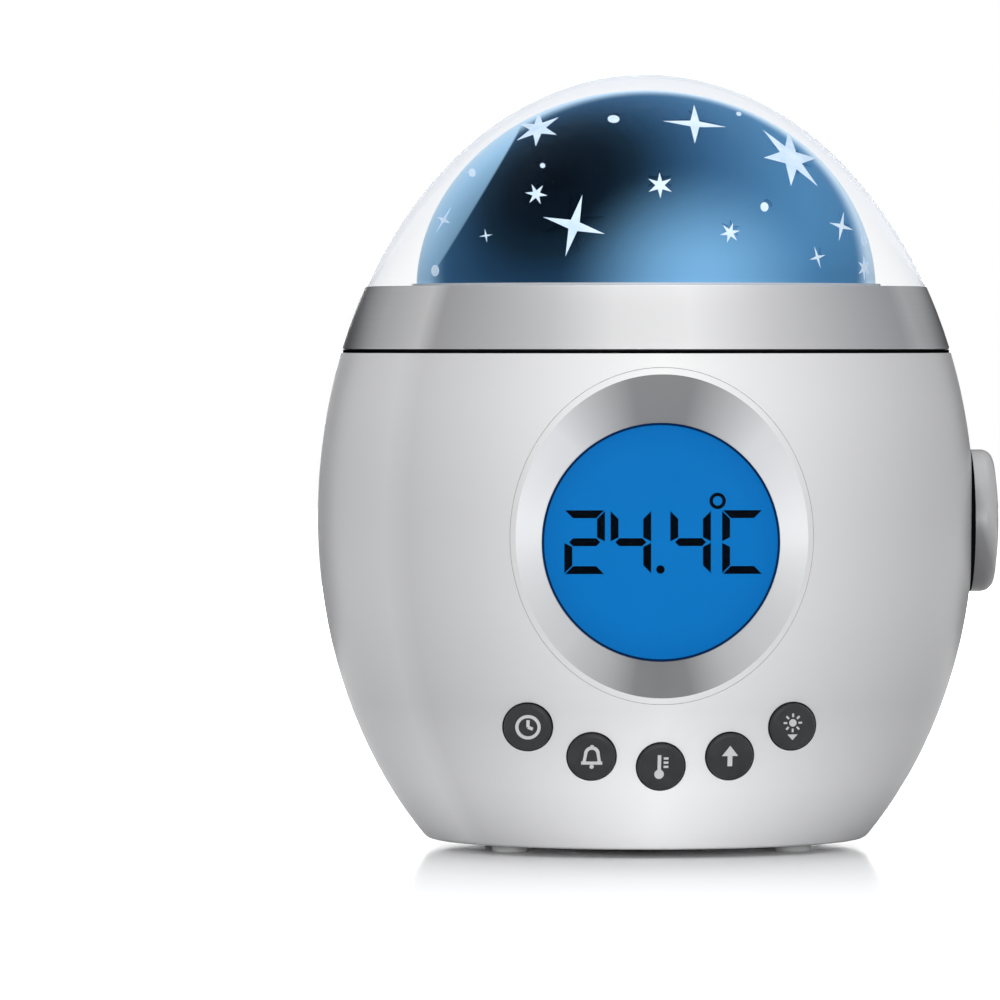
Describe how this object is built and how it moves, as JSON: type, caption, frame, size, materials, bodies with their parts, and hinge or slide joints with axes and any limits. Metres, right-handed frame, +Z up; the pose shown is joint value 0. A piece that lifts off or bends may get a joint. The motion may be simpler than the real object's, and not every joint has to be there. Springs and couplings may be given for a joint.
{
  "type": "star projector night light",
  "caption": "Egg-shaped bedside night light with a clear star-projecting dome, a round display in a conical recess, push keys front and rear, a side button, a slide switch and a speaker.",
  "frame": {"origin": "on the body axis, on the table under the feet", "axes": "+Z up, the display faces -Y, the side button is on +X"},
  "size_m": [0.1244, 0.1167, 0.141],
  "materials": {
    "casing_white": "glossy pearl white",
    "trim_silver": "silver-grey paint",
    "bezel_silver": "silver paint",
    "clear_dome": "clear polycarbonate",
    "star_carrier": "frosted",
    "star_film": "printed blue film",
    "charcoal_plastic": "fine matt",
    "base_white": "matt",
    "display_glass": "blue lit panel",
    "light_guide": "clear",
    "board_green": "solder mask",
    "black_plastic": "moulded",
    "screw_steel": "zinc plated",
    "plated_steel": "nickel plated",
    "magnet_ferrite": "sintered",
    "cone_paper": "pressed paper",
    "cell_metal": "wrapped cell",
    "foot_rubber": "grey rubber",
    "lamp_resin": "cast resin"
  },
  "bodies": {
    "body": {"front_housing": "casing_white", "rear_housing": "casing_white", "trim_ring": "trim_silver", "dome_cover": "clear_dome", "display_bezel": "bezel_silver", "display_window": "clear_dome", "dc_jack": "black_plastic", "dc_jack_pin": "plated_steel", "base_plate": "base_white", "rubber_feet": "foot_rubber", "battery_cover": "base_white", "housing_screws": "screw_steel", "projector_plate": "base_white", "star_dome": "star_carrier", "star_film": "star_film", "lamp_board": "board_green", "projector_lamp": "lamp_resin", "lamp_board_screws": "screw_steel", "lcd_panel": "display_glass", "lcd_backlight": "light_guide", "lcd_holder": "base_white", "main_board": "board_green", "main_board_screws": "screw_steel", "front_key_switches": "black_plastic", "controller_chip": "black_plastic", "rear_board": "board_green", "rear_board_screws": "screw_steel", "rear_key_switches": "black_plastic", "temperature_sensor": "lamp_resin", "slide_switch": "black_plastic", "side_board": "board_green", "side_switch": "black_plastic", "speaker_frame": "plated_steel", "speaker_cone": "cone_paper", "speaker_magnet": "magnet_ferrite", "speaker_clamp": "base_white", "speaker_screws": "screw_steel", "base_screws": "screw_steel", "battery_cover_screw": "screw_steel", "battery_cells": "cell_metal", "battery_contacts": "plated_steel"},
    "front_key_1": {"front_key_1": "charcoal_plastic"},
    "front_key_2": {"front_key_2": "charcoal_plastic"},
    "front_key_3": {"front_key_3": "charcoal_plastic"},
    "front_key_4": {"front_key_4": "charcoal_plastic"},
    "front_key_5": {"front_key_5": "charcoal_plastic"},
    "rear_key_1": {"rear_key_1": "charcoal_plastic"},
    "rear_key_2": {"rear_key_2": "charcoal_plastic"},
    "rear_key_3": {"rear_key_3": "charcoal_plastic"},
    "rear_key_4": {"rear_key_4": "charcoal_plastic"},
    "rear_key_5": {"rear_key_5": "charcoal_plastic"},
    "side_button": {"side_button": "casing_white"},
    "slide_knob": {"slide_knob": "casing_white", "slide_lever": "black_plastic"}
  },
  "joints": [
    {"name": "front_key_1_press", "type": "slide", "parent": "body", "child": "front_key_1", "axis": [0, 1, 0], "range_m": [0, 0.0006], "stiffness_N_per_m": 600},
    {"name": "front_key_2_press", "type": "slide", "parent": "body", "child": "front_key_2", "axis": [0, 1, 0], "range_m": [0, 0.0006], "stiffness_N_per_m": 600},
    {"name": "front_key_3_press", "type": "slide", "parent": "body", "child": "front_key_3", "axis": [0, 1, 0], "range_m": [0, 0.0006], "stiffness_N_per_m": 600},
    {"name": "front_key_4_press", "type": "slide", "parent": "body", "child": "front_key_4", "axis": [0, 1, 0], "range_m": [0, 0.0006], "stiffness_N_per_m": 600},
    {"name": "front_key_5_press", "type": "slide", "parent": "body", "child": "front_key_5", "axis": [0, 1, 0], "range_m": [0, 0.0006], "stiffness_N_per_m": 600},
    {"name": "rear_key_1_press", "type": "slide", "parent": "body", "child": "rear_key_1", "axis": [0, -1, 0], "range_m": [0, 0.0006], "stiffness_N_per_m": 600},
    {"name": "rear_key_2_press", "type": "slide", "parent": "body", "child": "rear_key_2", "axis": [0, -1, 0], "range_m": [0, 0.0006], "stiffness_N_per_m": 600},
    {"name": "rear_key_3_press", "type": "slide", "parent": "body", "child": "rear_key_3", "axis": [0, -1, 0], "range_m": [0, 0.0006], "stiffness_N_per_m": 600},
    {"name": "rear_key_4_press", "type": "slide", "parent": "body", "child": "rear_key_4", "axis": [0, -1, 0], "range_m": [0, 0.0006], "stiffness_N_per_m": 600},
    {"name": "rear_key_5_press", "type": "slide", "parent": "body", "child": "rear_key_5", "axis": [0, -1, 0], "range_m": [0, 0.0006], "stiffness_N_per_m": 600},
    {"name": "side_button_press", "type": "slide", "parent": "body", "child": "side_button", "axis": [-1, 0, 0], "range_m": [0, 0.001], "stiffness_N_per_m": 600},
    {"name": "slide_knob_shift", "type": "slide", "parent": "body", "child": "slide_knob", "axis": [1, 0, 0], "range_m": [-0.0024, 0.0024]}
  ]
}
